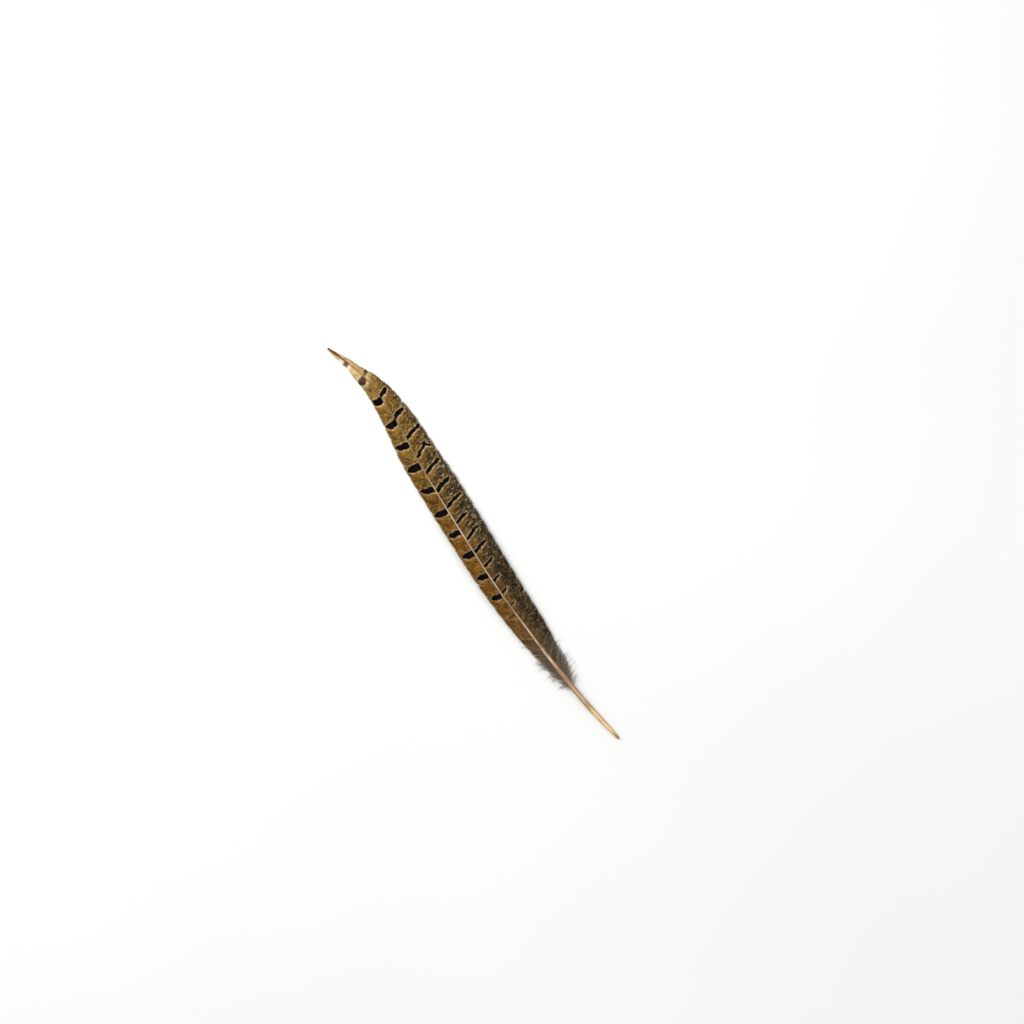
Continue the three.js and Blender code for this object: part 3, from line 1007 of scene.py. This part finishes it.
def worn_length(margin, in_lock, loose, side):
    """How much of each barb is left, as a share of the vane's reach."""
    count = len(margin)
    length = 1 - np.abs(luck.normal(0, 0.012, count)) - 0.035 * (1 - np.sin(np.pi * in_lock)) ** 2
    length -= luck.uniform(0, 0.4, count) * loose
    length -= luck.uniform(0, 0.2, count) * np.clip((margin - FRAYED_FROM) / FRAYED_OVER, 0, 1)
    if side > 0:
        broken = (margin > BROKEN_FROM) & (margin < BROKEN_TO)
        length = np.where(broken, luck.uniform(0.45, 0.7, count), length)
    return length


print("barbs are", PITCH, "mm apart")

# %% The barbs of the vanes
SHARES = np.array([0, 0.05, 0.13, 0.24, 0.36, 0.48, 0.6, 0.71, 0.81, 0.89, 0.95, 1.0])
# One barb's section: out in half widths and up in millimetres. The web's two edges are marked -1 and 1.
WEB = np.array([(-1, -0.03), (-0.35, 0.02), (0, 0.085), (0.35, 0.04), (1, 0.03), (0, -0.06)])
WEB_EDGE = np.array([-1.0, 0.0, 0.0, 0.0, 1.0, 0.0])
LAP = 0.62  # half of a web's width, for each millimetre from one barb to the next: over 0.5 they lap
LEAST_REACH = 0.6
OVER_SOLID = 0.16  # a barb's middle is this far above the solid's underside


def vane(name, reach, splits, side):
    """All the barbs on one side of the shaft."""
    first, last = reach[0][0], reach[-1][0]
    margin = np.arange(VANE_FROM, last + 0.5, PITCH)
    count = len(margin)
    full = np.maximum(reach_at(reach, margin), LEAST_REACH)
    loose = np.clip((LOOSE_TO - margin) / (LOOSE_TO - VANE_FROM), 0, 1)
    number = (margin - first) / (last - first) * LOCKS
    in_lock = number - np.floor(number)
    aside = pulled_aside(margin, number, in_lock, loose, splits, first, last) * np.clip(full / 6, 0.1, 1)

    t = worn_length(margin, in_lock, loose, side)[:, None] * SHARES
    lean = (table(SLANT, margin) * full)[:, None]
    path = np.zeros((count, len(SHARES), 3))
    path[..., 0] = margin[:, None] + aside[:, None] * t**2 - lean * (1 - t**BEND)
    path[..., 1] = full[:, None] * t
    square = across_of(path)
    spacing = np.abs((np.gradient(path[..., :2], axis=0) * square).sum(-1))
    half_width = LAP * np.clip(spacing, 0.05, 0.6) * (1 - 0.62 * loose[:, None])
    half_width *= np.interp(SHARES, [0, 0.88, 1], [1, 1, 0.25])

    # Each lock swells a little, the margin lifts here and there, and the loose barbs at the foot stand up.
    height = ground_of(reach, path[..., 0], path[..., 1]) + OVER_SOLID
    swell = (0.16 * np.sin(np.pi * in_lock) + luck.normal(0, 0.02, count))[:, None]
    lift = np.abs(drift(0.5, 26, margin))[:, None] * np.clip(full / 8, 0, 1)[:, None]
    flutter = (luck.uniform(-0.3, 1.0, count) * loose)[:, None]
    path[..., 2] = height + (swell + flutter) * t + lift * t**3

    section = WEB * np.ones(path.shape[:2] + (1, 1))
    section[..., 0] *= half_width[..., None]
    marks = np.zeros(path.shape[:2] + (len(WEB), 3))
    marks[..., 0] = t[..., None]
    marks[..., 1] = WEB_EDGE
    marks[..., 2] = luck.random(count)[:, None, None]
    path[..., 1] *= side
    square[..., 1] *= side
    piece = strands(name, path, square, section[:, :, ::side], marks[:, :, ::side])
    piece.data.materials.append(vane_look)
    return piece


vane_left = vane("vane_left", LEFT_REACH, LEFT_SPLITS, 1)
vane_right = vane("vane_right", RIGHT_REACH, RIGHT_SPLITS, -1)

# %% [markdown]
# ## Down at the foot
#
# The lowest barbs have no hooks. They are long, limp and feathery: each has a row of fine hairs on both
# sides, which makes a soft grey tuft. The down barbs curl at random and settle on the ground, and each
# of their hairs is a tiny strand of its own.

# %% Where the down runs
DOWN_BARBS = 100
DOWN_FROM, DOWN_TO = 38.0, 76.0
SHORTEST, LONGEST = 7.0, 12.5  # of the down barbs, before they are made shorter at the ends of their row
RIGHT_LONGER = 1.15  # the wide vane's down is longer too
STEPS = 16
HAIRS = 34  # in each of a down barb's two rows


def down_paths(side):
    """Where the down barbs of one side run, their headings at each step, and their random numbers."""
    root = np.sort(luck.uniform(DOWN_FROM, DOWN_TO, DOWN_BARBS))
    size = luck.uniform(SHORTEST, LONGEST, DOWN_BARBS)
    size *= np.interp(root, [DOWN_FROM, VANE_FROM, DOWN_TO], [0.55, 0.95, 0.85])
    size *= 1.0 if side > 0 else RIGHT_LONGER
    heading = np.radians(luck.uniform(22, 52, DOWN_BARBS))
    curl = np.radians(luck.normal(14, 26, DOWN_BARBS))
    t = np.linspace(0, 1, STEPS)
    ripple = 0.12 * np.sin(9 * t + luck.uniform(0, 6, (DOWN_BARBS, 1)))
    way = heading[:, None] + curl[:, None] * t**1.5 + ripple
    step = size[:, None] / (STEPS - 1)
    path = np.zeros((DOWN_BARBS, STEPS, 3))
    path[..., 0] = root[:, None] + np.cumsum(np.cos(way) * step, 1)
    path[..., 1] = np.cumsum(np.sin(way) * step, 1)
    start = spline(SHAFT_RISE, root)[:, None]
    rest = luck.uniform(0.3, 2.6, DOWN_BARBS)[:, None]
    arch = 0.6 * luck.random((DOWN_BARBS, 1)) * np.sin(np.pi * t)
    path[..., 2] = start + (rest - start) * (1 - (1 - t) ** 2) + arch
    return path, way, luck.random(DOWN_BARBS)


def side_hairs(path, way):
    """A row of hairs on each side of every down barb, each with three points."""
    at = np.linspace(0.06, 0.99, HAIRS)
    spot = at * (STEPS - 1)
    i = np.minimum(spot.astype(int), STEPS - 2)
    f = (spot - i)[None, :, None]
    base = path[:, i] * (1 - f) + path[:, i + 1] * f
    rows = []
    for turn_by in (-1, 1):
        long = luck.uniform(0.6, 1.6, (DOWN_BARBS, HAIRS)) * np.interp(at, [0, 0.3, 1], [0.7, 1, 0.35])
        angle = way[:, i] + turn_by * np.radians(luck.uniform(30, 60, (DOWN_BARBS, HAIRS)))
        out_to = [np.cos(angle) * long, np.sin(angle) * long, luck.normal(0, 0.3, angle.shape)]
        tips = base + np.stack(out_to, -1)
        middle = (base + tips) / 2 + luck.normal(0, 0.06, base.shape)
        rows.append(np.stack([base, middle, tips], 2).reshape(-1, 3, 3))
    return np.concatenate(rows)


print(DOWN_BARBS, "down barbs a side, with", 2 * HAIRS, "hairs each")

# %% Down at the foot
# Both kinds of strand are three-sided: out and up, in half widths.
THREE_SIDED = np.array([(-1, -0.6), (0, 1), (1, -0.6)])
STEM_GIRTH = 0.06 * (1 - 0.75 * np.linspace(0, 1, STEPS))
HAIR_GIRTH = np.array([0.028, 0.022, 0.008])
# How far each point is from the down's dark root to its pale ends.
STEM_SHARES = np.linspace(0, 0.7, STEPS)
HAIR_SHARES = np.array([0.4, 0.7, 1.0])
# The share of the flat map that each kind may take.
STEM_ROOM, HAIR_ROOM = (0.0, 0.1), (0.1, 1.0)


def down(name, side):
    """The down barbs of one side with all their hairs, as one mesh."""
    path, way, chance = down_paths(side)
    hairs = side_hairs(path, way)
    of_hairs = np.tile(np.repeat(chance, HAIRS), 2)
    pieces = []
    for label, spine, girth, shares, of_barb, room in (
        ("stems", path, STEM_GIRTH, STEM_SHARES, chance, STEM_ROOM),
        ("hairs", hairs, HAIR_GIRTH, HAIR_SHARES, of_hairs, HAIR_ROOM),
    ):
        square = across_of(spine) * (1, side)
        section = THREE_SIDED * np.ones(spine.shape[:2] + (1, 1)) * girth[None, :, None, None]
        marks = np.zeros(spine.shape[:2] + (1, 3))
        marks[..., 0] = shares[:, None]
        marks[..., 2] = of_barb[:, None, None]
        made = strands(f"{name}_{label}", spine * (1, side, 1), square, section[:, :, ::side], marks, room)
        pieces.append(made)
    bpy.ops.object.select_all(action="DESELECT")
    for part in pieces:
        part.select_set(True)
    bpy.context.view_layer.objects.active = pieces[0]
    bpy.ops.object.join()
    pieces[0].name = name
    pieces[0].data.materials.append(down_look)
    return pieces[0]


down_left = down("down_left", 1)
down_right = down("down_right", -1)

# %% [markdown]
# ## Onto the solid frame
#
# Every piece rides on the one body of the feather and stands in for its one solid.

# %% Onto the solid frame
for piece in (quill, vane_left, vane_right, down_left, down_right):
    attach(piece, "root")
    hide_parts("feather")

# %% [markdown]
# ## Floor, light and camera
#
# A pale matt floor, a pale sky all round, a large soft lamp high on one side and a weaker one on the
# other side give a product picture without hard shadows. The camera looks straight down. Its picture is
# square, and 587 mm of the floor fill it, so it stands 1.39 m up with an 85 mm lens. It is turned so that
# the feather lies across the picture from the lower right, where its quill is, to the upper left.

# %% The floor
FLOOR_HALF = 3
FLOOR_TINTS = rgb("#EEEEEC"), rgb("#F1F1EF")
floor_mesh = bpy.data.meshes.new("floor")
floor_corners = [(x * FLOOR_HALF, y * FLOOR_HALF, 0) for x, y in ((-1, -1), (1, -1), (1, 1), (-1, 1))]
floor_mesh.from_pydata(floor_corners, [], [(0, 1, 2, 3)])
floor = bpy.data.objects.new("floor", floor_mesh)
bpy.context.scene.collection.objects.link(floor)
floor_look, tree, shader = material("pale floor")
place = node(tree, "TexCoord").outputs["Object"]
tint = ease(tree, noise(tree, place, 3.0), 0.3, 0.7)
tree.links.new(mix(tree, tint, *FLOOR_TINTS), shader.inputs["Base Color"])
shader.inputs["Roughness"].default_value = 0.9
shader.inputs["Specular IOR Level"].default_value = 0.1
floor_mesh.materials.append(floor_look)
print("floor is", 2 * FLOOR_HALF, "m wide")

# %% The light
SKY = 0.62
world = bpy.data.worlds.new("studio")
world.use_nodes = True
world.node_tree.nodes["Background"].inputs["Color"].default_value = (1.0, 1.0, 1.0, 1.0)
world.node_tree.nodes["Background"].inputs["Strength"].default_value = SKY
bpy.context.scene.world = world


def lamp(name, place, size, power):
    """A square area light that faces the feather."""
    data = bpy.data.lights.new(name, "AREA")
    data.size = size
    data.energy = power
    made = bpy.data.objects.new(name, data)
    made.location = place
    toward = -made.location
    made.rotation_euler = toward.to_track_quat("-Z", "Y").to_euler()
    bpy.context.scene.collection.objects.link(made)


lamp("key", (0.9, 0.25, 1.1), 0.9, 14.0)
lamp("fill", (-0.8, -0.9, 1.2), 1.2, 5.0)
print("lamps:", [light.name for light in bpy.data.lights])

# %% The camera
PICTURE_UP = (0.8014, -0.5981)  # the way on the floor that is up in the picture
AIM = (0.00135, -0.02646)  # the place in the picture's middle
AIM_HEIGHT = 0.003  # half the feather's height, where the picture's width is measured
VIEW_WIDTH = 0.5869
LENS, SENSOR = 85.0, 36.0
camera_data = bpy.data.cameras.new("camera")
camera_data.lens = LENS
camera_data.sensor_width = SENSOR
camera = bpy.data.objects.new("camera", camera_data)
camera.location = (AIM[0], AIM[1], VIEW_WIDTH * LENS / SENSOR + AIM_HEIGHT)
camera.rotation_euler = (0.0, 0.0, float(np.arctan2(-PICTURE_UP[0], PICTURE_UP[1])))
bpy.context.scene.collection.objects.link(camera)
bpy.context.scene.camera = camera
bpy.context.scene.view_settings.view_transform = "Standard"
bpy.context.scene.view_settings.look = "None"
print("camera is", round(camera.location.z, 3), "m up")
